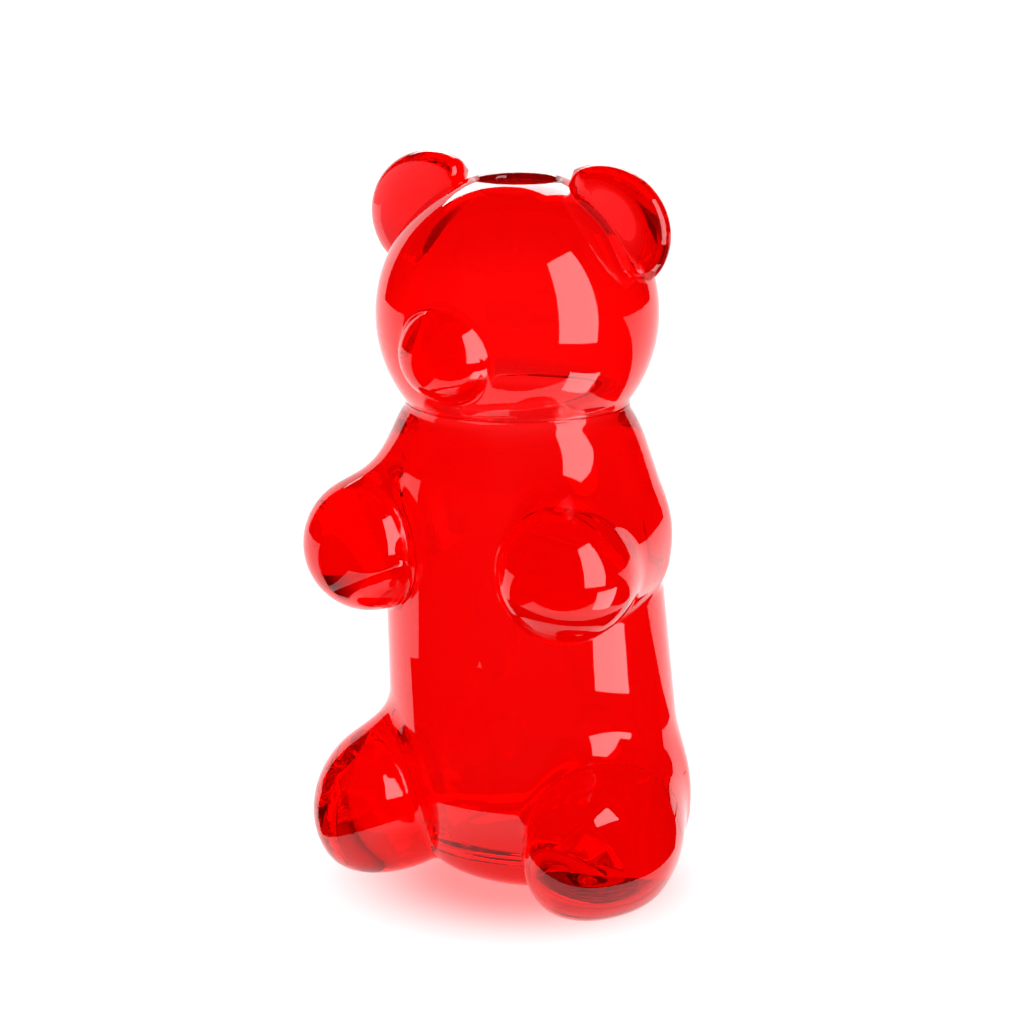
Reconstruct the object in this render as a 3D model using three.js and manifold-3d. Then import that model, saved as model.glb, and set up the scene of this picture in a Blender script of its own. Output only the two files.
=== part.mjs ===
// A hollow bear-shaped vase in ruby glass. The round mouth is in the crown of the head.
// Body, head, limbs, ears and muzzle are separate glass elements that meet along fused lines.
// Millimetres and degrees, +Z up. The bear faces -Y, its left side is +X, and it stands on Z = 0.
import * as THREE from 'three';
import { mergeVertices } from 'three/addons/utils/BufferGeometryUtils.js';
import Module from 'manifold-3d';

// Glass
const WALL = 4.5;
const FLOOR = 12;
const FUSE_GAP = 0.3;
const MOUTH_RADIUS = 12.3;

// Body: a low and a high ball with the cone between them, leaning forward and flattened in depth
const BODY_LOW_RADIUS = 47;
const BODY_HIGH_RADIUS = 43;
const BODY_LOW_HEIGHT = 37;
const BODY_LENGTH = 92;
const BODY_LEAN = 6.6;
const BODY_DEPTH_RATIO = 0.91;

// Head: a ball standing over the body's high centre
const HEAD_RADIUS = 43.4;
const HEAD_RISE = 53;

// Muzzle and ears: how far each centre is sunk under the head's surface, and how high it looks
const MUZZLE_RADII = new THREE.Vector3(14, 14, 14.5);
const MUZZLE_SINK = 4.6;
const MUZZLE_PITCH = -6;
const EAR_RADII = new THREE.Vector3(22.5, 8, 20);
const EAR_SINK = 2.4;
const EAR_PITCH = 42;
const EAR_DISH_RADIUS = 15;
const EAR_DISH_DEPTH = 4;

// Limbs: a cone from a round root in the body to a paw or foot. Angles turn from the front of the
// bear to its side, insets go in from the body's radius, and rises go up from the body's centre.
const ARM = {
  rootAngle: 105.7,
  rootInset: 16,
  rootRise: -19,
  rootRadius: 24.5,
  tipAngle: 51,
  tipInset: -3.1,
  tipRise: -17.6,
  tipRadii: new THREE.Vector3(18.3, 20.8, 19.7),
};
const LEG = {
  rootAngle: 99.1,
  rootInset: 18.6,
  rootRise: -13,
  rootRadius: 23,
  tipAngle: 58.5,
  tipInset: 1.3,
  tipRise: -15,
  tipRadii: new THREE.Vector3(21.5, 31.5, 26),
};

// Fineness of the round surfaces, and a block larger than the bear for cutting with
const TURN_STEPS = 28;
const ARC_STEPS = 7;
const BLOCK = 600;

const wasm = await Module();
wasm.setup();

// A solid for joining and cutting, from any closed three.js geometry.
function solidOf(geometry) {
  const plain = geometry.clone();
  plain.deleteAttribute('normal');
  plain.deleteAttribute('uv');
  const merged = mergeVertices(plain, 1e-3);
  const triangles = [];
  for (let i = 0; i < merged.index.count; i += 3) {
    const corners = [0, 1, 2].map((k) => merged.index.getX(i + k));
    if (new Set(corners).size === 3) {
      triangles.push(...corners);
    }
  }
  const vertProperties = new Float32Array(merged.attributes.position.array);
  const triVerts = new Uint32Array(triangles);
  return new wasm.Manifold(new wasm.Mesh({ numProp: 3, vertProperties, triVerts }));
}

// An ellipsoid about a centre.
function ellipsoid(radii, centre) {
  const geometry = new THREE.SphereGeometry(1, TURN_STEPS, 2 * ARC_STEPS);
  geometry.rotateX(Math.PI / 2);
  geometry.scale(radii.x, radii.y, radii.z);
  geometry.translate(centre.x, centre.y, centre.z);
  return solidOf(geometry);
}

function ball(radius, centre) {
  return ellipsoid(new THREE.Vector3().setScalar(radius), centre);
}

// Two balls and the cone tangent to both, standing up along +Z from the first ball's centre.
function roundedCone(lowRadius, highRadius, length) {
  const taper = Math.asin((lowRadius - highRadius) / length);
  const outline = [];
  for (let i = 0; i <= ARC_STEPS; i += 1) {
    const angle = THREE.MathUtils.mapLinear(i, 0, ARC_STEPS, -Math.PI / 2, taper);
    outline.push(new THREE.Vector2(lowRadius * Math.cos(angle), lowRadius * Math.sin(angle)));
  }
  for (let i = 0; i <= ARC_STEPS; i += 1) {
    const angle = THREE.MathUtils.mapLinear(i, 0, ARC_STEPS, taper, Math.PI / 2);
    outline.push(new THREE.Vector2(highRadius * Math.cos(angle), length + highRadius * Math.sin(angle)));
  }
  outline[0].x = 0;
  outline[outline.length - 1].x = 0;
  const geometry = new THREE.LatheGeometry(outline, TURN_STEPS);
  return geometry.rotateX(Math.PI / 2);
}

// All the space above (side 1) or below (side -1) a height, as a large block.
function halfSpace(height, side) {
  const geometry = new THREE.BoxGeometry(BLOCK, BLOCK, BLOCK);
  geometry.translate(0, 0, height + (side * BLOCK) / 2);
  return solidOf(geometry);
}

const lean = THREE.MathUtils.degToRad(BODY_LEAN);
const bodyAxis = new THREE.Vector3(0, -Math.sin(lean), Math.cos(lean));
const bodyLowCentre = new THREE.Vector3(0, 0, BODY_LOW_HEIGHT);
const bodyHighCentre = bodyAxis.clone().multiplyScalar(BODY_LENGTH).add(bodyLowCentre);
const headCentre = bodyHighCentre.clone().add(new THREE.Vector3(0, 0, HEAD_RISE));

// The crease of the neck is the level where the head ball and the body's high ball meet.
const neckRise = (HEAD_RISE ** 2 + BODY_HIGH_RADIUS ** 2 - HEAD_RADIUS ** 2) / (2 * HEAD_RISE);
const neckHeight = bodyHighCentre.z + neckRise;

// The body's shape with its surface moved out by a distance, or in by a negative one.
function bodyShape(offset) {
  const low = BODY_LOW_RADIUS + offset;
  const geometry = roundedCone(low, BODY_HIGH_RADIUS + offset, BODY_LENGTH);
  geometry.scale(1, (BODY_DEPTH_RATIO * BODY_LOW_RADIUS + offset) / low, 1);
  geometry.rotateX(lean);
  geometry.translate(bodyLowCentre.x, bodyLowCentre.y, bodyLowCentre.z);
  return solidOf(geometry);
}

// A point at an angle round from the bear's front, a distance out from an axis through a centre.
function pointRound(centre, side, angle, distance, rise) {
  const turn = THREE.MathUtils.degToRad(angle);
  const x = side * distance * Math.sin(turn);
  return new THREE.Vector3(x, -distance * Math.cos(turn), rise).add(centre);
}

// A limb's shape with its surface moved out or in, on the left (side 1) or the right (side -1).
function limbShape(limb, centre, bodyRadius, side, offset) {
  const root = pointRound(centre, side, limb.rootAngle, bodyRadius - limb.rootInset, limb.rootRise);
  const tip = pointRound(centre, side, limb.tipAngle, bodyRadius - limb.tipInset, limb.tipRise);
  const reach = tip.clone().sub(root);
  const tipRadii = limb.tipRadii.clone().addScalar(offset);
  const endRadius = Math.min(tipRadii.x, tipRadii.y, tipRadii.z);
  const geometry = roundedCone(limb.rootRadius + offset, endRadius, reach.length());
  const up = new THREE.Vector3(0, 0, 1);
  geometry.applyQuaternion(new THREE.Quaternion().setFromUnitVectors(up, reach.normalize()));
  geometry.translate(root.x, root.y, root.z);
  return solidOf(geometry).add(ellipsoid(tipRadii, tip));
}

// One disc-shaped ear with a shallow round dish in its front face.
function earShape(side) {
  const pitch = THREE.MathUtils.degToRad(EAR_PITCH);
  const reach = HEAD_RADIUS - EAR_SINK;
  const centre = new THREE.Vector3(side * reach * Math.cos(pitch), 0, reach * Math.sin(pitch));
  centre.add(headCentre);
  const dishBall = (EAR_DISH_RADIUS ** 2 + EAR_DISH_DEPTH ** 2) / (2 * EAR_DISH_DEPTH);
  const dishCentre = centre.clone();
  dishCentre.y += EAR_DISH_DEPTH - EAR_RADII.y - dishBall;
  return ellipsoid(EAR_RADII, centre).subtract(ball(dishBall, dishCentre));
}

function muzzleShape() {
  const pitch = THREE.MathUtils.degToRad(MUZZLE_PITCH);
  const reach = HEAD_RADIUS - MUZZLE_SINK;
  const centre = new THREE.Vector3(0, -reach * Math.cos(pitch), reach * Math.sin(pitch));
  return ellipsoid(MUZZLE_RADII, centre.add(headCentre));
}

function mouthHole() {
  const geometry = new THREE.CylinderGeometry(MOUTH_RADIUS, MOUTH_RADIUS, HEAD_RADIUS, TURN_STEPS);
  geometry.rotateX(Math.PI / 2);
  geometry.translate(headCentre.x, headCentre.y, headCentre.z + HEAD_RADIUS);
  return solidOf(geometry);
}

// A named mesh of glass from a finished solid.
function glassMesh(name, solid, tint) {
  const mesh = solid.getMesh();
  const geometry = new THREE.BufferGeometry();
  geometry.setAttribute('position', new THREE.BufferAttribute(mesh.vertProperties, 3));
  geometry.setIndex(new THREE.BufferAttribute(mesh.triVerts, 1));
  geometry.computeVertexNormals();
  const material = new THREE.MeshStandardMaterial({ color: tint, roughness: 0.05, metalness: 0 });
  const result = new THREE.Mesh(geometry, material);
  result.name = name;
  return result;
}

const RUBY = 0xd40512;
const RUBY_THIN = 0xe8323c;
const SIDES = [[1, 'left'], [-1, 'right']];
const bodyOuter = bodyShape(0);
const bodyClear = bodyShape(FUSE_GAP);
const headClear = ball(HEAD_RADIUS + FUSE_GAP, headCentre);
const aboveGround = halfSpace(0, 1);
const aboveFloor = halfSpace(FLOOR, 1);
const bear = new THREE.Group();

// Each limb is hollow and open to the body, so the body's wall has a hole of the same shape.
let torso = bodyOuter.subtract(bodyShape(-WALL));
for (const [side, hand] of SIDES) {
  const limbs = [
    ['arm', ARM, bodyHighCentre, BODY_HIGH_RADIUS],
    ['leg', LEG, bodyLowCentre, BODY_LOW_RADIUS],
  ];
  for (const [name, limb, centre, bodyRadius] of limbs) {
    const hollow = limbShape(limb, centre, bodyRadius, side, -WALL).intersect(aboveFloor);
    const outer = limbShape(limb, centre, bodyRadius, side, 0).intersect(aboveGround);
    bear.add(glassMesh(`${name}_${hand}`, outer.subtract(hollow).subtract(bodyClear), RUBY));
    torso = torso.subtract(hollow);
  }
}
torso = torso.intersect(halfSpace(FLOOR + FUSE_GAP, 1)).subtract(halfSpace(neckHeight - FUSE_GAP, 1));
bear.add(glassMesh('torso_shell', torso, RUBY));
bear.add(glassMesh('base_disc', bodyOuter.intersect(aboveGround).subtract(aboveFloor), RUBY));

const headBall = ball(HEAD_RADIUS, headCentre);
const headHollow = ball(HEAD_RADIUS - WALL, headCentre).add(mouthHole());
const head = headBall.subtract(headHollow).subtract(halfSpace(neckHeight, -1));
bear.add(glassMesh('head_shell', head, RUBY));
bear.add(glassMesh('muzzle', muzzleShape().subtract(headClear), RUBY_THIN));
for (const [side, hand] of SIDES) {
  bear.add(glassMesh(`ear_${hand}`, earShape(side).subtract(headClear), RUBY_THIN));
}

// The origin is on the ground under the middle of the bear's outline.
bear.updateMatrixWorld(true);
const extent = new THREE.Box3().setFromObject(bear);
bear.position.y = -(extent.min.y + extent.max.y) / 2;
bear.updateMatrixWorld(true);

export default bear;
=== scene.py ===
"""Ruby glass bear vase: smooth blown-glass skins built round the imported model's frame.

The bear is worked out in millimetres as a distance field made of a few rounded shapes. Each
visible piece is a two-parameter grid that is laid on that field's surface and evened out, then
written to a mesh in metres.
"""

from __future__ import annotations

import logging
import math
from dataclasses import dataclass, field, replace
from enum import Enum
from typing import Callable

import bpy
import numpy as np
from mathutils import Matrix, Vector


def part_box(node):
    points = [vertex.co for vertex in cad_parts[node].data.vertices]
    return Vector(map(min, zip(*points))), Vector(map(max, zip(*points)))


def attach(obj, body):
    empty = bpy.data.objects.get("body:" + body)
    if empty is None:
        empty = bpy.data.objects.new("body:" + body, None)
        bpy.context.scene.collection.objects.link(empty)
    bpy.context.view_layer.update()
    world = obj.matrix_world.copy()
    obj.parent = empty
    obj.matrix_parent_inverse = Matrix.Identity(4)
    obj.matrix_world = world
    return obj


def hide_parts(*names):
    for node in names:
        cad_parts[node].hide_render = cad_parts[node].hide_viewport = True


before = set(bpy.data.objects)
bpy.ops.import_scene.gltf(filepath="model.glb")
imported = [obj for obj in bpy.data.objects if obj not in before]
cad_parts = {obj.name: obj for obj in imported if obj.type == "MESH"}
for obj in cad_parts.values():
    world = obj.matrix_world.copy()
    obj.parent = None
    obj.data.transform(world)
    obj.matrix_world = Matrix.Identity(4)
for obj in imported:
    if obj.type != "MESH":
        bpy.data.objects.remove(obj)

log = logging.getLogger("bear_vase")

Array = np.ndarray
Form = Callable[[Array], Array]

MM = 0.001
ROOT = "root"
WHITE = (1.0, 1.0, 1.0, 1.0)
STEP_SHARE = 0.8  # how much of the distance left is taken in one step of a walk
TINY = 1e-9


class Slot(Enum):
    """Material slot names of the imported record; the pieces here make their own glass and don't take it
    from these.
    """

    BODY = "body_glass"
    HEAD = "head_glass"
    EAR = "ear_glass"


# ---------------------------------------------------------------- distance forms


def smooth_union(a: Array, b: Array, blend: float | Array) -> Array:
    """Join two distances with a fillet: the smaller one, less a parabola where they are close.

    Args:
        a: First distance.
        b: Second distance.
        blend: How close the two must be, in mm, before they flow together.

    Returns:
        The joined distance.
    """
    near = np.maximum(blend - np.abs(a - b), 0.0) / blend
    return np.minimum(a, b) - near * near * blend * 0.25


def smooth_cut(a: Array, b: Array, blend: float) -> Array:
    """Keep only what is inside both distances, with a rounded edge.

    Args:
        a: First distance.
        b: Second distance.
        blend: Width of the rounding in mm.

    Returns:
        The cut distance.
    """
    return -smooth_union(-a, -b, blend)


@dataclass(frozen=True)
class Ellipsoid:
    """A ball stretched along the three axes."""

    centre: tuple[float, float, float]
    radii: tuple[float, float, float]

    def distance(self, points: Array, offset: float = 0.0) -> Array:
        """Distance to the surface: the scaled radius less one, over the length of its slope.

        Args:
            points: Places in mm, last axis x, y, z.
            offset: How far the surface is moved out, in mm.

        Returns:
            The distance, below zero inside.
        """
        radii = np.array(self.radii) + offset
        scaled = (points - np.array(self.centre)) / radii
        level = np.linalg.norm(scaled, axis=-1)
        slope = np.linalg.norm(scaled / radii, axis=-1)
        return level * (level - 1.0) / np.maximum(slope, TINY)


@dataclass(frozen=True)
class RoundedCone:
    """Balls of changing radius strung along a straight line."""

    start: tuple[float, float, float]
    end: tuple[float, float, float]
    start_radius: float
    end_radius: float

    def distance(self, points: Array, offset: float = 0.0) -> Array:
        """Distance to the nearest point of the line, less the radius there.

        Args:
            points: Places in mm.
            offset: How far the surface is moved out, in mm.

        Returns:
            The distance, below zero inside.
        """
        start = np.array(self.start)
        line = np.array(self.end) - start
        share = np.clip((points - start) @ line / (line @ line), 0.0, 1.0)
        nearest = start + share[..., None] * line
        radius = self.start_radius + share * (self.end_radius - self.start_radius)
        return np.linalg.norm(points - nearest, axis=-1) - radius - offset


@dataclass(frozen=True)
class Limb:
    """A rounded cone that swells into a paw or a foot, given for the bear's left side (mm)."""

    root: tuple[float, float, float]
    root_radius: float
    tip: tuple[float, float, float]
    tip_radii: tuple[float, float, float]
    waist: float
    swell: float = 6.0

    def placed(self, centre: Array) -> Limb:
        """The same limb with its root and tip counted from a centre, as a new limb."""
        return replace(self, root=tuple(centre + self.root), tip=tuple(centre + self.tip))

    def distance(self, points: Array, offset: float = 0.0) -> Array:
        """Smooth union of the cone and the ellipsoid at its tip.

        Args:
            points: Places in mm on the left side.
            offset: How far the surface is moved out, in mm.

        Returns:
            The distance, below zero inside.
        """
        cone = RoundedCone(self.root, self.tip, self.root_radius, self.waist)
        end = Ellipsoid(self.tip, self.tip_radii)
        return smooth_union(cone.distance(points, offset), end.distance(points, offset), self.swell)


@dataclass
class BearForm:
    """The whole bear as two distance fields, its outer skin and the hollow inside it (mm)."""

    wall: float = 4.5
    floor: float = 12.0
    mouth_radius: float = 12.3
    low_radius: float = 47.0
    high_radius: float = 43.0
    low_height: float = 37.0
    length: float = 92.0
    lean: float = math.radians(6.6)
    depth_ratio: float = 0.91
    head_radius: float = 43.4
    head_rise: float = 53.0
    neck_blend: float = 3.0
    arm_blend: tuple[float, float] = (1.6, 15.0)
    leg_blend: tuple[float, float] = (2.5, 13.0)
    foot_round: float = 8.0
    muzzle_blend: float = 1.8
    inner_neck_blend: float = 14.0
    soft_out: float = 0.6
    soft_up: float = 0.8
    soft_start: float = 0.1
    muzzle_offset: tuple[float, float, float] = (0.0, -38.2, -6.2)
    muzzle_radii: tuple[float, float, float] = (15.2, 14.4, 14.8)
    arm: Limb = Limb(
        root=(26.0, 7.3, -19.0),
        root_radius=21.5,
        tip=(35.2, -29.0, -17.8),
        tip_radii=(18.8, 20.8, 19.7),
        waist=19.6,
    )
    leg: Limb = Limb(
        root=(28.0, 4.5, -13.0),
        root_radius=23.0,
        tip=(39.0, -23.9, -15.0),
        tip_radii=(21.5, 31.5, 26.0),
        waist=20.5,
    )
    low: Array = field(init=False)
    high: Array = field(init=False)
    head: Array = field(init=False)
    muzzle: Ellipsoid = field(init=False)

    def __post_init__(self) -> None:
        """Take the bear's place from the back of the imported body, then place its centres.

        The arm is given from the body's high centre and the leg from its low centre.
        """
        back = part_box("torso_shell")[1].y / MM
        self.low = np.array([0.0, back - self.depth_ratio * self.low_radius, self.low_height])
        axis = np.array([0.0, -math.sin(self.lean), math.cos(self.lean)])
        self.high = self.low + self.length * axis
        self.head = self.high + np.array([0.0, 0.0, self.head_rise])
        self.arm = self.arm.placed(self.high)
        self.leg = self.leg.placed(self.low)
        self.muzzle = Ellipsoid(tuple(self.head + self.muzzle_offset), self.muzzle_radii)

    @property
    def neck_height(self) -> float:
        """Level of the neck's crease, where the head ball and the body's high ball meet."""
        squares = self.head_rise**2 + self.high_radius**2 - self.head_radius**2
        return float(self.high[2] + squares / (2.0 * self.head_rise))

    def trunk(self, points: Array, offset: float = 0.0) -> Array:
        """Distance to the body without limbs: a rounded cone, flattened front to back.

        Args:
            points: Places in mm.
            offset: How far the surface is moved out, in mm.

        Returns:
            The distance, below zero inside.
        """
        ratio = (self.depth_ratio * self.low_radius + offset) / (self.low_radius + offset)
        flat = np.array([1.0, 1.0 / ratio, 1.0])
        cone = RoundedCone(
            tuple(self.low * flat), tuple(self.high * flat), self.low_radius, self.high_radius
        )
        return cone.distance(points * flat, offset)

    def limb_union(
        self, body: Array, limb: Limb, left: Array, blend: tuple[float, float], offset: float = 0.0
    ) -> Array:
        """Join a limb on with a crisp crease below and inside and a soft one above and outside.

        The fillet's width goes from crisp to soft along a smooth step of the place's height and
        outward place on the limb's tip, each counted in radii of the tip.

        Args:
            body: Distance to what it is joined to.
            limb: The limb.
            left: Places mirrored to the left side, in mm.
            blend: Fillet widths in mm at the crisp side and at the soft side.
            offset: How far the limb's surface is moved out, in mm.

        Returns:
            The joined distance.
        """
        rise = (left[..., 2] - limb.tip[2]) / limb.tip_radii[2]
        out = (left[..., 0] - limb.tip[0]) / limb.tip_radii[0]
        share = np.clip(self.soft_out * out + self.soft_up * rise + self.soft_start, 0.0, 1.0)
        share = share * share * (3.0 - 2.0 * share)
        width = blend[0] + (blend[1] - blend[0]) * share
        return smooth_union(body, limb.distance(left, offset), width)

    def outer(self, points: Array) -> Array:
        """Distance to the bear's outer skin without its ears.

        Args:
            points: Places in mm.

        Returns:
            The distance, below zero inside.
        """
        left = np.concatenate([np.abs(points[..., :1]), points[..., 1:]], axis=-1)
        body = self.limb_union(self.trunk(points), self.leg, left, self.leg_blend)
        body = self.limb_union(body, self.arm, left, self.arm_blend)
        body = smooth_cut(body, -points[..., 2], self.foot_round)
        ball = Ellipsoid(tuple(self.head), (self.head_radius,) * 3).distance(points)
        head = smooth_union(ball, self.muzzle.distance(points), self.muzzle_blend)
        return smooth_union(body, head, self.neck_blend)

    def inner(self, points: Array) -> Array:
        """Distance to the hollow: the same shapes a wall thinner, with a softer neck.

        Args:
            points: Places in mm.

        Returns:
            The distance, below zero in the hollow.
        """
        left = np.concatenate([np.abs(points[..., :1]), points[..., 1:]], axis=-1)
        hollow = self.trunk(points, -self.wall)
        hollow = self.limb_union(hollow, self.leg, left, self.leg_blend, -self.wall)
        hollow = self.limb_union(hollow, self.arm, left, self.arm_blend, -self.wall)
        hollow = smooth_cut(hollow, self.floor - points[..., 2], self.foot_round)
        ball = Ellipsoid(tuple(self.head), (self.head_radius - self.wall,) * 3)
        return smooth_union(hollow, ball.distance(points), self.inner_neck_blend)


# ---------------------------------------------------------------- grids on a form


def slope(form: Form, points: Array, level: Array, step: float = 0.02) -> Array:
    """Slope of a form at each point: the change over a small step along x, y and z.

    Args:
        form: The distance form.
        points: Places in mm.
        level: The form's value at the points.
        step: Length of the step in mm.

    Returns:
        The slope, shaped like the points.
    """
    nudges = np.eye(3) * step
    return np.stack([(form(points + nudge) - level) / step for nudge in nudges], axis=-1)


def settle(form: Form, points: Array, rounds: int = 1, reach: float = 2.0) -> Array:
    """Move points onto a form's surface: back down the slope by the level over its square.

    Args:
        form: The distance form.
        points: Places in mm.
        rounds: How many times to repeat the move.
        reach: The longest move in mm.

    Returns:
        The moved points.
    """
    for _ in range(rounds):
        level = form(points)
        grade = slope(form, points, level)
        square = np.maximum((grade * grade).sum(axis=-1), 1e-6)
        move = -np.clip(level / square, -reach, reach)
        points = points + move[..., None] * grade
    return points


def cast_in(form: Form, origins: Array, directions: Array, start: float, rounds: int = 60) -> Array:
    """Come in along each ray from outside until the form's surface is met.

    Args:
        form: The distance form.
        origins: Where the rays begin, in mm.
        directions: Unit directions of the rays.
        start: How far out the walk begins, in mm.
        rounds: How many steps are walked, each a little less than the distance left.

    Returns:
        The points where the rays meet the surface.
    """
    reach = np.full(directions.shape[:-1], start)
    for _ in range(rounds):
        reach = reach - STEP_SHARE * form(origins + reach[..., None] * directions)
    return origins + reach[..., None] * directions


def cast_out(form: Form, origins: Array, directions: Array, rounds: int = 60) -> Array:
    """Go out along each ray from inside until the form's surface is met.

    Args:
        form: The distance form.
        origins: Where the rays begin, in mm, inside the form.
        directions: Unit directions of the rays.
        rounds: How many steps are walked.

    Returns:
        The points where the rays meet the surface.
    """
    reach = np.ones(directions.shape[:-1])
    for _ in range(rounds):
        reach = reach - STEP_SHARE * form(origins + reach[..., None] * directions)
    return origins + reach[..., None] * directions


def even_out(form: Form, grid: Array, rounds: int) -> Array:
    """Spread a grid evenly over a form: each point goes half way to the middle of its
    four neighbours, and then back to the surface. The first and last rows stay.

    Args:
        form: The distance form.
        grid: Points with rows along the piece and columns round it.
        rounds: How many times to repeat it.

    Returns:
        The evened grid.
    """
    for _ in range(rounds):
        inside = grid[1:-1]
        around = np.roll(inside, 1, axis=1) + np.roll(inside, -1, axis=1)
        middle = (around + grid[:-2] + grid[2:]) * 0.25
        moved = settle(form, 0.5 * (inside + middle))
        grid = np.concatenate([grid[:1], moved, grid[-1:]])
    return grid


def refine(grid: Array) -> Array:
    """Double a grid both ways by putting a new point half way between each two.

    Args:
        grid: Points with rows along the piece and columns round it.

    Returns:
        The finer grid.
    """
    halves = 0.5 * (grid[:-1] + grid[1:])
    rows = np.stack([grid[:-1], halves], axis=1).reshape(-1, *grid.shape[1:])
    rows = np.concatenate([rows, grid[-1:]])
    between = 0.5 * (rows + np.roll(rows, -1, axis=1))
    return np.stack([rows, between], axis=2).reshape(rows.shape[0], -1, 3)


def fit_grid(form: Form, grid: Array, passes: tuple[int, ...]) -> Array:
    """Even a coarse grid out, then refine and even it again, once for each pass.

    Args:
        form: The distance form.
        grid: The coarse grid.
        passes: Rounds of evening before each doubling and after the last.

    Returns:
        The fine grid, settled on the surface.
    """
    for index, rounds in enumerate(passes):
        grid = refine(grid) if index else grid
        grid = even_out(form, grid, rounds)
    return np.concatenate([grid[:1], settle(form, grid[1:-1], rounds=3), grid[-1:]])


def level_rim(form: Form, rim: Array, centre: Array, rounds: int = 40) -> Array:
    """Put a rim's points on a form's surface without changing their height: each one is
    moved toward or away from the centre by most of the level left, several times.

    Args:
        form: The distance form.
        rim: The rim's points in mm.
        centre: The point whose upright line the rim goes round.
        rounds: How many times the points are moved.

    Returns:
        The rim on the surface.
    """
    for _ in range(rounds):
        away = (rim - centre) * np.array([1.0, 1.0, 0.0])
        away = away / np.linalg.norm(away, axis=-1, keepdims=True)
        rim = rim - STEP_SHARE * form(rim)[..., None] * away
    return rim


def band_quads(index: Array, ring: bool = False) -> Array:
    """Quads between the rows of a grid that is closed round its columns.

    Args:
        index: Point numbers, rows along and columns round.
        ring: Whether the last row joins the first.

    Returns:
        Four point numbers for each quad, band after band.
    """
    turned = np.roll(index, -1, axis=1)
    ahead = [np.roll(row, -1, axis=0) for row in (turned, index)]
    quads = np.stack([index, turned, *ahead], axis=-1)
    return (quads if ring else quads[:-1]).reshape(-1, 4)


def pole_fan(row: Array, pole: int, before: bool) -> Array:
    """Triangles between a row of points and a single point.

    Args:
        row: Point numbers round the row.
        pole: Number of the single point.
        before: Whether the point comes before the row along the piece.

    Returns:
        Three point numbers for each triangle, wound like the quads.
    """
    turned = np.roll(row, -1)
    tip = np.full_like(row, pole)
    return np.stack([tip, turned, row] if before else [row, turned, tip], axis=-1)


def signed_volume(points: Array, faces: Array) -> float:
    """Volume enclosed by flat faces: the sum of each corner fan's triple product.

    Args:
        points: Corner places.
        faces: Point numbers, one row for each face.

    Returns:
        Six times the volume, above zero where the faces point outwards.
    """
    total = 0.0
    for second in range(1, faces.shape[1] - 1):
        a, b, c = (points[faces[:, corner]] for corner in (0, second, second + 1))
        total += float(np.einsum("ij,ij->i", a, np.cross(b, c)).sum())
    return total


def mesh_piece(name: str, points: Array, groups: list[Array], smooth: Array) -> bpy.types.Object:
    """Make a mesh object from points in mm, turned so that its faces point outwards.

    Args:
        name: Name of the new object.
        points: Corner places in mm.
        groups: Faces in arrays of point numbers, one array for each number of corners.
        smooth: Whether each face is shaded smooth, in the order of the groups.

    Returns:
        The new object, linked to the scene.
    """
    if sum(signed_volume(points, faces) for faces in groups) < 0.0:
        groups = [faces[:, ::-1] for faces in groups]
    mesh = bpy.data.meshes.new(name)
    mesh.from_pydata((points * MM).tolist(), [], sum((faces.tolist() for faces in groups), []))
    mesh.polygons.foreach_set("use_smooth", smooth)
    mesh.update()
    piece = bpy.data.objects.new(name, mesh)
    bpy.context.scene.collection.objects.link(piece)
    return piece


def ring_piece(name: str, grid: Array) -> bpy.types.Object:
    """Make a piece from a grid whose last row joins its first by a flat seat.

    Args:
        name: Name of the new object.
        grid: Points in mm, rows along the piece and columns round it.

    Returns:
        The new object, shaded smooth but for the seat.
    """
    rows, columns = grid.shape[:2]
    index = np.arange(rows * columns).reshape(rows, columns)
    smooth = np.ones((rows, columns), bool)
    smooth[-1] = False
    return mesh_piece(name, grid.reshape(-1, 3), [band_quads(index, ring=True)], smooth.reshape(-1))


def pole_piece(name: str, grid: Array, seat: int | None = None) -> bpy.types.Object:
    """Make a piece from a grid whose first and last rows are each one point.

    Args:
        name: Name of the new object.
        grid: Points in mm, rows along the piece and columns round it.
        seat: Row whose following band of faces is a flat seat, if there is one.

    Returns:
        The new object, shaded smooth but for the seat.
    """
    rows, columns = grid.shape[0] - 2, grid.shape[1]
    points = np.concatenate([grid[0, :1], grid[1:-1].reshape(-1, 3), grid[-1, :1]])
    index = 1 + np.arange(rows * columns).reshape(rows, columns)
    fans = np.concatenate([pole_fan(index[0], 0, True), pole_fan(index[-1], len(points) - 1, False)])
    smooth = np.ones((rows - 1, columns), bool)
    if seat is not None:
        smooth[seat - 1] = False
    smooth = np.concatenate([np.ones(len(fans), bool), smooth.reshape(-1)])
    return mesh_piece(name, points, [fans, band_quads(index)], smooth)


# ---------------------------------------------------------------- finishes


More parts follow.
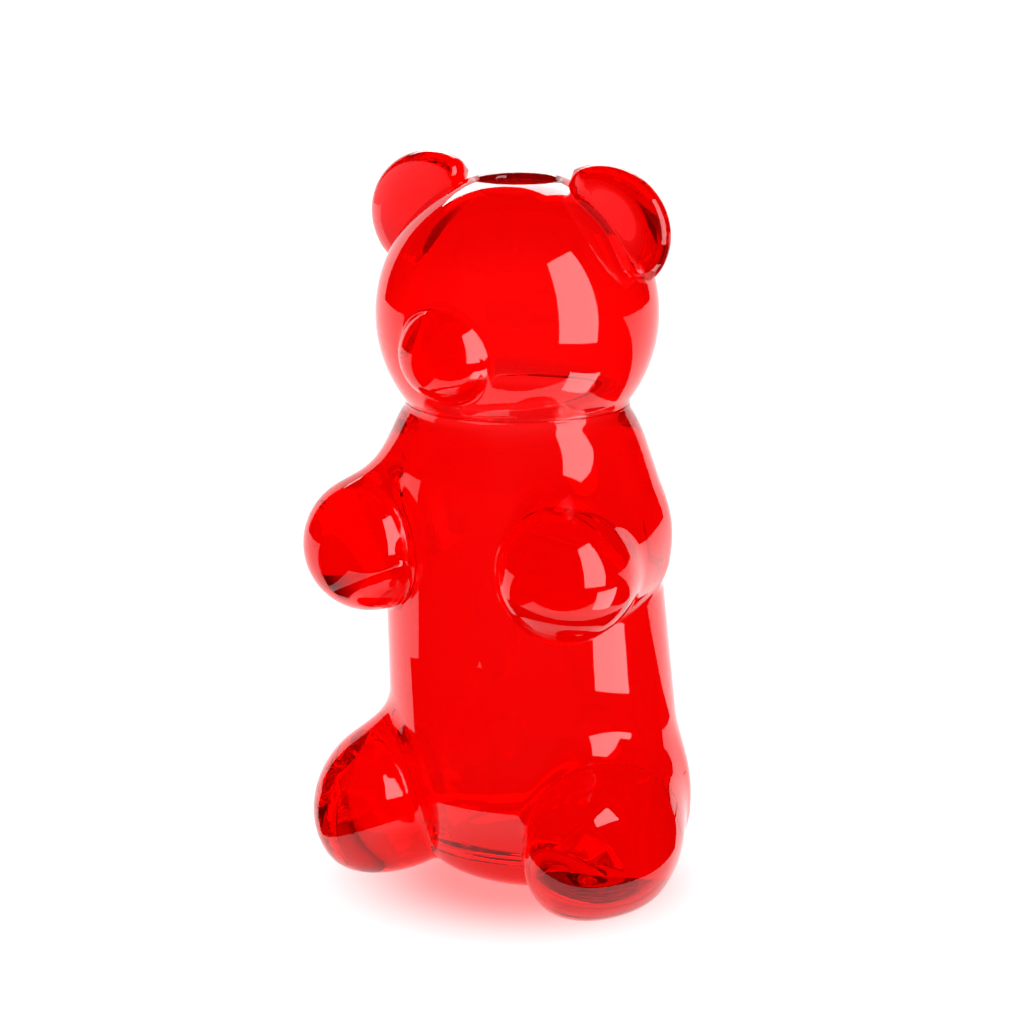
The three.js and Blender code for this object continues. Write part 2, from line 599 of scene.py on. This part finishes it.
@dataclass(frozen=True)
class RubyGlass:
    """Clear glass coloured through its thickness, with the slow waves of a blown wall.

    The absorption is per metre and per unit of density; the waves are in metres.
    """

    name: str
    absorb_colour: tuple[float, float, float] = (0.9985, 0.0, 0.02)
    absorb_density: float = 700.0
    index: float = 1.5
    roughness: float = 0.0
    tint_low: tuple[float, float, float] = (0.925, 0.92, 0.92)
    tint_high: tuple[float, float, float] = (0.955, 0.95, 0.95)
    wave_scale: float = 45.0
    wave_depth: float = 0.00012
    wave_detail: float = 1.0

    def material(self) -> bpy.types.Material:
        """Build the glass: absorption inside, and a faint tint and waves over its skin.

        Returns:
            The material.
        """
        material = bpy.data.materials.new(self.name)
        material.use_nodes = True
        nodes, links = material.node_tree.nodes, material.node_tree.links
        shader = nodes["Principled BSDF"]
        shader.inputs["Transmission Weight"].default_value = 1.0
        shader.inputs["IOR"].default_value = self.index
        shader.inputs["Roughness"].default_value = self.roughness
        where = nodes.new("ShaderNodeTexCoord")
        noise = nodes.new("ShaderNodeTexNoise")
        noise.inputs["Scale"].default_value = self.wave_scale
        noise.inputs["Detail"].default_value = self.wave_detail
        links.new(where.outputs["Object"], noise.inputs["Vector"])
        tint = nodes.new("ShaderNodeMix")
        tint.data_type = "RGBA"
        tint.inputs["A"].default_value = (*self.tint_low, 1.0)
        tint.inputs["B"].default_value = (*self.tint_high, 1.0)
        links.new(noise.outputs["Fac"], tint.inputs["Factor"])
        links.new(tint.outputs["Result"], shader.inputs["Base Color"])
        bump = nodes.new("ShaderNodeBump")
        bump.inputs["Strength"].default_value = 1.0
        bump.inputs["Distance"].default_value = self.wave_depth
        links.new(noise.outputs["Fac"], bump.inputs["Height"])
        links.new(bump.outputs["Normal"], shader.inputs["Normal"])
        volume = nodes.new("ShaderNodeVolumeAbsorption")
        volume.inputs["Color"].default_value = (*self.absorb_colour, 1.0)
        volume.inputs["Density"].default_value = self.absorb_density
        links.new(volume.outputs["Volume"], nodes["Material Output"].inputs["Volume"])
        return material


# ---------------------------------------------------------------- pieces


@dataclass
class GlassPart:
    """A part of the vase: it follows the bear's form and wears one glass."""

    form: BearForm
    glass: bpy.types.Material

    def dress(self, piece: bpy.types.Object) -> None:
        """Put the part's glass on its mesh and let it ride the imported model's one body.

        Args:
            piece: The mesh object.
        """
        piece.data.materials.append(self.glass)
        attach(piece, ROOT)


@dataclass
class BodyVessel(GlassPart):
    """Hollow body with its arms, legs and thick floor, from the ground to the neck."""

    columns: int = 60
    floor_rows: int = 12
    side_rows: int = 40
    inner_floor_rows: int = 8
    inner_side_rows: int = 26
    passes: tuple[int, ...] = (120, 20, 6)
    cast_from: float = 120.0
    overlap: float = 0.05

    def rays(self, floor_rows: int, side_rows: int, top: float) -> tuple[Array, Array]:
        """Rays that fan up from straight down, then climb the body's axis level.

        Args:
            floor_rows: Rows in the fan.
            side_rows: Rows on the climb.
            top: Height of the last row in mm.

        Returns:
            Origins and directions, rows along and columns round.
        """
        columns = self.columns
        turn = np.linspace(0.0, 2.0 * np.pi, columns, endpoint=False)
        tilt = np.linspace(-0.5 * np.pi, 0.0, floor_rows, endpoint=False)
        tilt = np.concatenate([tilt, np.zeros(side_rows)])
        height = np.linspace(self.form.low[2], top, side_rows)
        height = np.concatenate([np.full(floor_rows, self.form.low[2]), height])
        share = (height - self.form.low[2]) / (self.form.high[2] - self.form.low[2])
        axis_y = self.form.low[1] + np.clip(share, 0, 1) * (self.form.high[1] - self.form.low[1])
        origins = np.zeros((len(tilt), columns, 3))
        origins[..., 1] = axis_y[:, None]
        origins[..., 2] = height[:, None]
        level = np.cos(tilt)[:, None]
        parts = [level * np.sin(turn), -level * np.cos(turn), np.sin(tilt)[:, None] + 0.0 * turn]
        return origins, np.stack(parts, axis=-1)

    def build(self) -> bpy.types.Object:
        """Lay a skin from under the floor up to the neck, and another down inside.

        Returns:
            The mesh object.
        """
        top = self.form.neck_height + self.overlap
        outer, inner = self.form.outer, self.form.inner
        outside = cast_in(outer, *self.rays(self.floor_rows, self.side_rows, top), self.cast_from)
        inside = cast_out(inner, *self.rays(self.inner_floor_rows, self.inner_side_rows, top))
        outside = fit_grid(outer, outside, self.passes)
        inside = fit_grid(inner, inside, self.passes)
        outside[-1] = level_rim(outer, outside[-1], self.form.head)
        inside[-1] = level_rim(inner, inside[-1], self.form.head)
        log.info("body skins %s and %s", outside.shape[:2], inside.shape[:2])
        skin = np.concatenate([outside, inside[::-1]])
        piece = pole_piece("bear_body", skin, seat=len(outside) - 1)
        self.dress(piece)
        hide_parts("torso_shell", "base_disc", "arm_left", "arm_right", "leg_left", "leg_right")
        return piece


@dataclass
class HeadVessel(GlassPart):
    """Hollow head with its muzzle and the vase's round mouth, from the neck up."""

    columns: int = 60
    outer_rows: int = 32
    inner_rows: int = 24
    passes: tuple[int, ...] = (80, 20, 6)
    cast_from: float = 80.0
    overlap: float = 0.05
    lip_round: float = 2.5

    def solid(self, points: Array) -> Array:
        """Distance to the glass of the head: between the skins and outside the mouth's bore.

        Args:
            points: Places in mm.

        Returns:
            The distance, below zero in the glass.
        """
        glass = np.maximum(self.form.outer(points), -self.form.inner(points))
        bore = np.linalg.norm(points[..., :2] - self.form.head[:2], axis=-1)
        above = points[..., 2] > self.form.head[2]
        hole = np.where(above, self.form.mouth_radius - bore, -self.form.head_radius)
        return smooth_cut(glass, hole, self.lip_round)

    def rays(self, radius: float, rows: int) -> tuple[Array, Array]:
        """Rays from the middle of the head, fanned from the neck's edge to the mouth's.

        Args:
            radius: Radius of the skin that the rays will meet, in mm.
            rows: Rows in the fan.

        Returns:
            Origins and directions, rows along and columns round.
        """
        turn = np.linspace(0.0, 2.0 * np.pi, self.columns, endpoint=False)
        neck = math.asin((self.form.neck_height - self.form.head[2]) / radius)
        mouth = math.acos(self.form.mouth_radius / radius)
        tilt = np.linspace(neck, mouth, rows)[:, None]
        parts = [np.cos(tilt) * np.sin(turn), -np.cos(tilt) * np.cos(turn), np.sin(tilt) + 0.0 * turn]
        directions = np.stack(parts, axis=-1)
        return np.broadcast_to(self.form.head, directions.shape).copy(), directions

    def build(self) -> bpy.types.Object:
        """Lay the skin up outside, over the mouth's lip and down inside to the neck.

        Returns:
            The mesh object.
        """
        radius = self.form.head_radius
        outside = cast_in(self.form.outer, *self.rays(radius, self.outer_rows), self.cast_from)
        inside = cast_out(self.form.inner, *self.rays(radius - self.form.wall, self.inner_rows))[::-1]
        foot = self.form.neck_height - self.overlap
        outside[0, :, 2], inside[-1, :, 2] = foot, foot
        outside[0] = level_rim(self.form.outer, outside[0], self.form.head)
        inside[-1] = level_rim(self.form.inner, inside[-1], self.form.head)
        lip = 0.5 * (outside[-1:] + inside[:1])
        grid = fit_grid(self.solid, np.concatenate([outside, lip, inside]), self.passes)
        grid[0] = level_rim(self.form.outer, grid[0], self.form.head)
        grid[-1] = level_rim(self.form.inner, grid[-1], self.form.head)
        log.info("head grid %d by %d", *grid.shape[:2])
        piece = ring_piece("bear_head", grid)
        self.dress(piece)
        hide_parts("head_shell", "muzzle")
        return piece


@dataclass
class Ear(GlassPart):
    """A solid disc ear with a dished front, seated on the head.

    The side is 1 for the bear's left ear and -1 for its right one.
    """

    side: int
    radii: tuple[float, float, float] = (22.5, 8.0, 20.0)
    sink: float = 2.4
    pitch: float = math.radians(42.0)
    dish_radius: float = 15.0
    dish_depth: float = 4.0
    dish_blend: float = 4.0
    seat_blend: float = 0.4
    core_rise: float = 8.0
    overlap: float = 0.05
    rows: int = 25
    columns: int = 48
    passes: tuple[int, ...] = (60, 20, 8)

    def axis(self) -> Array:
        """Unit direction from the middle of the head through the middle of the ear."""
        return np.array([self.side * math.cos(self.pitch), 0.0, math.sin(self.pitch)])

    def solid(self, points: Array) -> Array:
        """Distance to the ear: the disc less its dish, a large ball, and less the head.

        Args:
            points: Places in mm.

        Returns:
            The distance, below zero in the glass.
        """
        centre = self.form.head + self.axis() * (self.form.head_radius - self.sink)
        disc = Ellipsoid(tuple(centre), self.radii).distance(points)
        ball = (self.dish_radius**2 + self.dish_depth**2) / (2.0 * self.dish_depth)
        dish_centre = centre + np.array([0.0, self.dish_depth - self.radii[1] - ball, 0.0])
        dish = np.linalg.norm(points - dish_centre, axis=-1) - ball
        ear = smooth_cut(disc, -dish, self.dish_blend)
        head = np.linalg.norm(points - self.form.head, axis=-1) - self.form.head_radius
        return smooth_cut(ear, -(head + self.overlap), self.seat_blend)

    def build(self) -> bpy.types.Object:
        """Lay a grid round the ear from its front to its back.

        Returns:
            The mesh object.
        """
        middle = self.form.head + self.axis() * (self.form.head_radius + self.core_rise)
        turn = np.linspace(0.0, 2.0 * np.pi, self.columns, endpoint=False)
        tilt = np.linspace(-0.5 * np.pi, 0.5 * np.pi, self.rows)[:, None]
        parts = [np.cos(tilt) * np.sin(turn), np.sin(tilt) + 0.0 * turn, np.cos(tilt) * np.cos(turn)]
        directions = np.stack(parts, axis=-1)
        origins = np.broadcast_to(middle, directions.shape).copy()
        grid = cast_out(self.solid, origins, directions)
        grid = fit_grid(self.solid, grid, self.passes)
        hand = "left" if self.side > 0 else "right"
        piece = pole_piece(f"bear_ear_{hand}", grid)
        self.dress(piece)
        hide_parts(f"ear_{hand}")
        return piece


# ---------------------------------------------------------------- studio


@dataclass
class Studio:
    """Pale sweep, soft lights, cards and the camera (metres and degrees).

    The cards show only in what the glass mirrors. Dark ones paint dark reflections that keep its front
    clear of the sweep's glare, and a glowing one beside the bear paints a highlight that carries the strip
    light's image down to the floor.
    """

    azimuth: float = 32.0
    pitch: float = 14.2
    distance: float = 0.962
    target: tuple[float, float, float] = (0.0, 0.0035, 0.115)
    sensor: float = 36.0
    lens: float = 108.63
    shift: tuple[float, float] = (-0.0119, 0.0085)
    floor_size: float = 16.0
    floor_drop: float = 0.0003
    floor_shade: float = 0.12
    floor_glow: float = 1.0
    # painted red light from the glass on the floor below the bear: its colour and how it fades out
    painted_red_light_tint: tuple[float, float, float] = (1.0, 0.3, 0.3)
    painted_red_light_fade: tuple[float, float] = (0.02, 0.071)
    card_shade: float = 0.004
    card_lift: float = 0.0005
    far: float = 3.0
    front_gap: float = 0.156
    side_gaps: tuple[float, float] = (0.17, 0.14)
    side_starts: tuple[float, float] = (-0.15, -0.03)
    fence_radius: float = 0.084
    fence_height: float = 0.055
    fence_half_turn: float = 95.0
    # glowing card seen only in reflections: a painted highlight on the hip
    painted_highlight_place: float = 0.16
    painted_highlight_half_width: float = 0.042
    painted_highlight_height: float = 0.075
    dome_half_angle: float = 136.0
    back_glow: float = 1.02
    front_glow: float = 0.14
    glow_turn: tuple[float, float] = (-0.2, 0.3)
    strip_glow: float = 5.0
    strip_place: tuple[float, float, float] = (0.65, -0.11, 0.46)
    strip_size: tuple[float, float] = (0.4, 0.92)
    overhead_glow: float = 8.0
    overhead_height: float = 0.85
    overhead_back: float = 0.95
    overhead_size: tuple[float, float] = (0.9, 0.75)

    def toward_camera(self) -> Array:
        """Level unit direction from the bear to the camera."""
        turn = math.radians(self.azimuth)
        return np.array([math.sin(turn), -math.cos(turn), 0.0])

    def across(self) -> Array:
        """Level unit direction to the right as the camera sees it."""
        toward = self.toward_camera()
        return np.array([-toward[1], toward[0], 0.0])

    def camera(self) -> None:
        """Place the camera and frame the bear a little off the middle."""
        data = bpy.data.cameras.new("camera")
        data.sensor_width = self.sensor
        data.lens = self.lens
        data.shift_x, data.shift_y = self.shift
        data.clip_start = 0.01
        camera = bpy.data.objects.new("camera", data)
        tilt = math.radians(self.pitch)
        away = self.toward_camera() * math.cos(tilt) + np.array([0.0, 0.0, math.sin(tilt)])
        camera.location = np.array(self.target) + self.distance * away
        camera.rotation_euler = (math.radians(90.0 - self.pitch), 0.0, math.radians(self.azimuth))
        bpy.context.scene.collection.objects.link(camera)
        bpy.context.scene.camera = camera

    def floor(self) -> None:
        """Lay a wide pale floor that glows evenly as it would under a lit sweep, with a painted red glow of
        light through the glass below the bear.
        """
        bpy.ops.mesh.primitive_plane_add(size=self.floor_size)
        floor = bpy.context.object
        floor.name = "floor"
        floor.location.z = -self.floor_drop
        material = self.matt("floor", self.floor_shade, self.floor_glow)
        nodes, links = material.node_tree.nodes, material.node_tree.links
        where = nodes.new("ShaderNodeTexCoord")
        reach = nodes.new("ShaderNodeVectorMath")
        reach.operation = "LENGTH"
        links.new(where.outputs["Object"], reach.inputs[0])
        fade = nodes.new("ShaderNodeMapRange")
        fade.interpolation_type = "SMOOTHSTEP"
        fade.inputs["From Min"].default_value = self.painted_red_light_fade[0]
        fade.inputs["From Max"].default_value = self.painted_red_light_fade[1]
        links.new(reach.outputs["Value"], fade.inputs["Value"])
        # Painted red light from the glass: the floor's glow turns red close below the bear and fades to
        # white further out.
        tint = nodes.new("ShaderNodeMix")
        tint.data_type = "RGBA"
        tint.inputs["A"].default_value = (*self.painted_red_light_tint, 1.0)
        tint.inputs["B"].default_value = WHITE
        links.new(fade.outputs["Result"], tint.inputs["Factor"])
        links.new(tint.outputs["Result"], nodes["Principled BSDF"].inputs["Emission Color"])
        floor.data.materials.append(material)

    def matt(self, name: str, shade: float, glow: float) -> bpy.types.Material:
        """Make a grey surface without gloss that may glow white.

        Args:
            name: Name of the material.
            shade: How light its grey is.
            glow: How bright it glows.

        Returns:
            The material.
        """
        material = bpy.data.materials.new(name)
        material.use_nodes = True
        shader = material.node_tree.nodes["Principled BSDF"]
        shader.inputs["Base Color"].default_value = (shade, shade, shade, 1.0)
        shader.inputs["Roughness"].default_value = 1.0
        shader.inputs["Specular IOR Level"].default_value = 0.0
        shader.inputs["Emission Color"].default_value = WHITE
        shader.inputs["Emission Strength"].default_value = glow
        return material

    def card(self, name: str, grid: Array, glow: float = 0.0) -> None:
        """Set up a card, black or glowing, that only shows in what the glass mirrors.

        Args:
            name: Name of the card.
            grid: The card's points in metres, rows by columns, open on all sides.
            glow: How bright the card is.
        """
        rows, columns = grid.shape[:2]
        index = np.arange(rows * columns).reshape(rows, columns)
        quads = np.stack([index[:-1, :-1], index[:-1, 1:], index[1:, 1:], index[1:, :-1]], axis=-1)
        mesh = bpy.data.meshes.new(name)
        mesh.from_pydata(grid.reshape(-1, 3).tolist(), [], quads.reshape(-1, 4).tolist())
        mesh.materials.append(self.matt(name, self.card_shade, glow))
        card = bpy.data.objects.new(name, mesh)
        bpy.context.scene.collection.objects.link(card)
        card.visible_camera = False
        card.visible_diffuse = False
        card.visible_transmission = False
        card.visible_shadow = False

    def level_card(self, name: str, near: float, far: float, left: float, right: float) -> None:
        """Lay a card just over the floor.

        Args:
            name: Name of the card.
            near: Where it begins toward the camera, in metres from the bear.
            far: Where it ends toward the camera.
            left: Where it begins across the view.
            right: Where it ends across the view.
        """
        toward, across = self.toward_camera(), self.across()
        lift = np.array([0.0, 0.0, self.card_lift])
        rows = [[toward * t + across * a + lift for a in (left, right)] for t in (near, far)]
        self.card(name, np.array(rows))

    def fence(self, name: str) -> None:
        """Stand a low card round the bear's front: an arc of points, raised once.

        Args:
            name: Name of the card.
        """
        turn = np.radians(self.azimuth + np.linspace(-1.0, 1.0, 49) * self.fence_half_turn)
        arc = np.stack([np.sin(turn), -np.cos(turn), 0.0 * turn], axis=-1) * self.fence_radius
        foot = arc + np.array([0.0, 0.0, self.card_lift])
        self.card(name, np.stack([foot, foot + np.array([0.0, 0.0, self.fence_height])]))

    def painted_highlight_card(self, name: str) -> None:
        """Stand a small glowing card beside the bear, seen only in reflections: a painted highlight that
        carries the strip's reflection on to the floor.

        Args:
            name: Name of the card.
        """
        sides = (-self.painted_highlight_half_width, self.painted_highlight_half_width)
        levels = (self.card_lift, self.painted_highlight_height)
        rows = [[(self.painted_highlight_place, side, level) for side in sides] for level in levels]
        # Its glow is a painted reflection of the strip light. It is not a lamp and lights nothing.
        self.card(name, np.array(rows), self.strip_glow)

    def dome(self, name: str) -> None:
        """Hang a dark dome over the camera's side, seen only in reflections, where it paints dark
        reflections: circles about the camera's level line, from its middle out to the half angle.

        Args:
            name: Name of the card.
        """
        toward = self.toward_camera()
        angle = np.radians(np.linspace(0.5, self.dome_half_angle, 40))[:, None, None]
        turn = np.linspace(0.0, 2.0 * np.pi, 65)[None, :, None]
        ring = np.cos(turn) * self.across() + np.sin(turn) * np.array([0.0, 0.0, 1.0])
        self.card(name, self.far * (np.cos(angle) * toward + np.sin(angle) * ring))

    def cards(self) -> None:
        """Lay the dark cards, which paint dark reflections, on the floor round a white patch, and set up
        the others.
        """
        far, front = self.far, self.front_gap
        self.level_card("flag_front", front, far, -far, far)
        self.level_card("flag_right", self.side_starts[0], front, self.side_gaps[0], far)
        self.level_card("flag_left", self.side_starts[1], front, -far, -self.side_gaps[1])
        self.fence("flag_low")
        self.painted_highlight_card("painted_highlight_card")
        self.dome("flag_dome")

    def world(self) -> None:
        """Surround the bear with white behind it and a dim room in front."""
        world = bpy.data.worlds.new("room")
        bpy.context.scene.world = world
        world.use_nodes = True
        nodes, links = world.node_tree.nodes, world.node_tree.links
        background = nodes["Background"]
        where = nodes.new("ShaderNodeTexCoord")
        behind = nodes.new("ShaderNodeVectorMath")
        behind.operation = "DOT_PRODUCT"
        behind.inputs[1].default_value = tuple(-self.toward_camera())
        links.new(where.outputs["Generated"], behind.inputs[0])
        fade = nodes.new("ShaderNodeMapRange")
        fade.interpolation_type = "SMOOTHSTEP"
        fade.inputs["From Min"].default_value = self.glow_turn[0]
        fade.inputs["From Max"].default_value = self.glow_turn[1]
        fade.inputs["To Min"].default_value = self.front_glow
        fade.inputs["To Max"].default_value = self.back_glow
        links.new(behind.outputs["Value"], fade.inputs["Value"])
        links.new(fade.outputs["Result"], background.inputs["Strength"])
        background.inputs["Color"].default_value = WHITE

    def soft_light(
        self, name: str, place: Array, aim: Array, size: tuple[float, float], glow: float
    ) -> None:
        """Add a rectangular soft light that faces a point.

        Args:
            name: Name of the light.
            place: Where its middle is, in metres.
            aim: The point that it faces, in metres.
            size: Width and height in metres.
            glow: How bright its face is; the power is this times pi times the area.
        """
        data = bpy.data.lights.new(name, "AREA")
        data.shape = "RECTANGLE"
        data.size, data.size_y = size
        data.energy = glow * math.pi * size[0] * size[1]
        light = bpy.data.objects.new(name, data)
        light.location = tuple(place)
        facing = light.location - type(light.location)(tuple(aim))
        light.rotation_euler = facing.to_track_quat("Z", "Y").to_euler()
        light.visible_camera = False
        bpy.context.scene.collection.objects.link(light)

    def lights(self) -> None:
        """Add the tall strip at the bear's left and the wide light above and behind it."""
        strip = np.array(self.strip_place)
        self.soft_light("strip", strip, strip * np.array([0.0, 1.0, 1.0]), self.strip_size, self.strip_glow)
        middle = -self.overhead_back * self.toward_camera() + np.array([0.0, 0.0, self.overhead_height])
        self.soft_light(
            "overhead", middle, middle * np.array([1.0, 1.0, 0.0]), self.overhead_size, self.overhead_glow
        )

    def build(self) -> None:
        """Build the camera, the floor, the cards, the surroundings and the lights in order."""
        self.camera()
        self.floor()
        self.cards()
        self.world()
        self.lights()


def clear_view() -> None:
    """Show plain colours, and follow light far enough to cross the whole of the glass.

    Light that enters the thick floor is mirrored many times along the wall before it leaves,
    so a small limit would leave black bands in the feet.
    """
    scene = bpy.context.scene
    scene.view_settings.view_transform = "Standard"
    scene.cycles.max_bounces = 128
    scene.cycles.transmission_bounces = 64
    scene.cycles.glossy_bounces = 128


def main() -> None:
    """Build the studio and every part in order, and report each one."""
    logging.basicConfig(level=logging.INFO, format="%(name)s: %(message)s")
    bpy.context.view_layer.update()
    clear_view()
    Studio().build()
    form = BearForm()
    deep = RubyGlass("deep_ruby_glass", tint_low=(0.888, 0.88, 0.88), tint_high=(0.917, 0.91, 0.91))
    ruby = RubyGlass("ruby_glass")
    thin = RubyGlass("thin_ruby_glass", absorb_colour=(0.995, 0.0, 0.03), absorb_density=320.0)
    ear_glass = thin.material()
    parts = [
        BodyVessel(form, deep.material()),
        HeadVessel(form, ruby.material()),
        Ear(form, ear_glass, side=1),
        Ear(form, ear_glass, side=-1),
    ]
    for part in parts:
        piece = part.build()
        log.info("%s: %d faces", piece.name, len(piece.data.polygons))


if __name__ == "__main__":
    main()
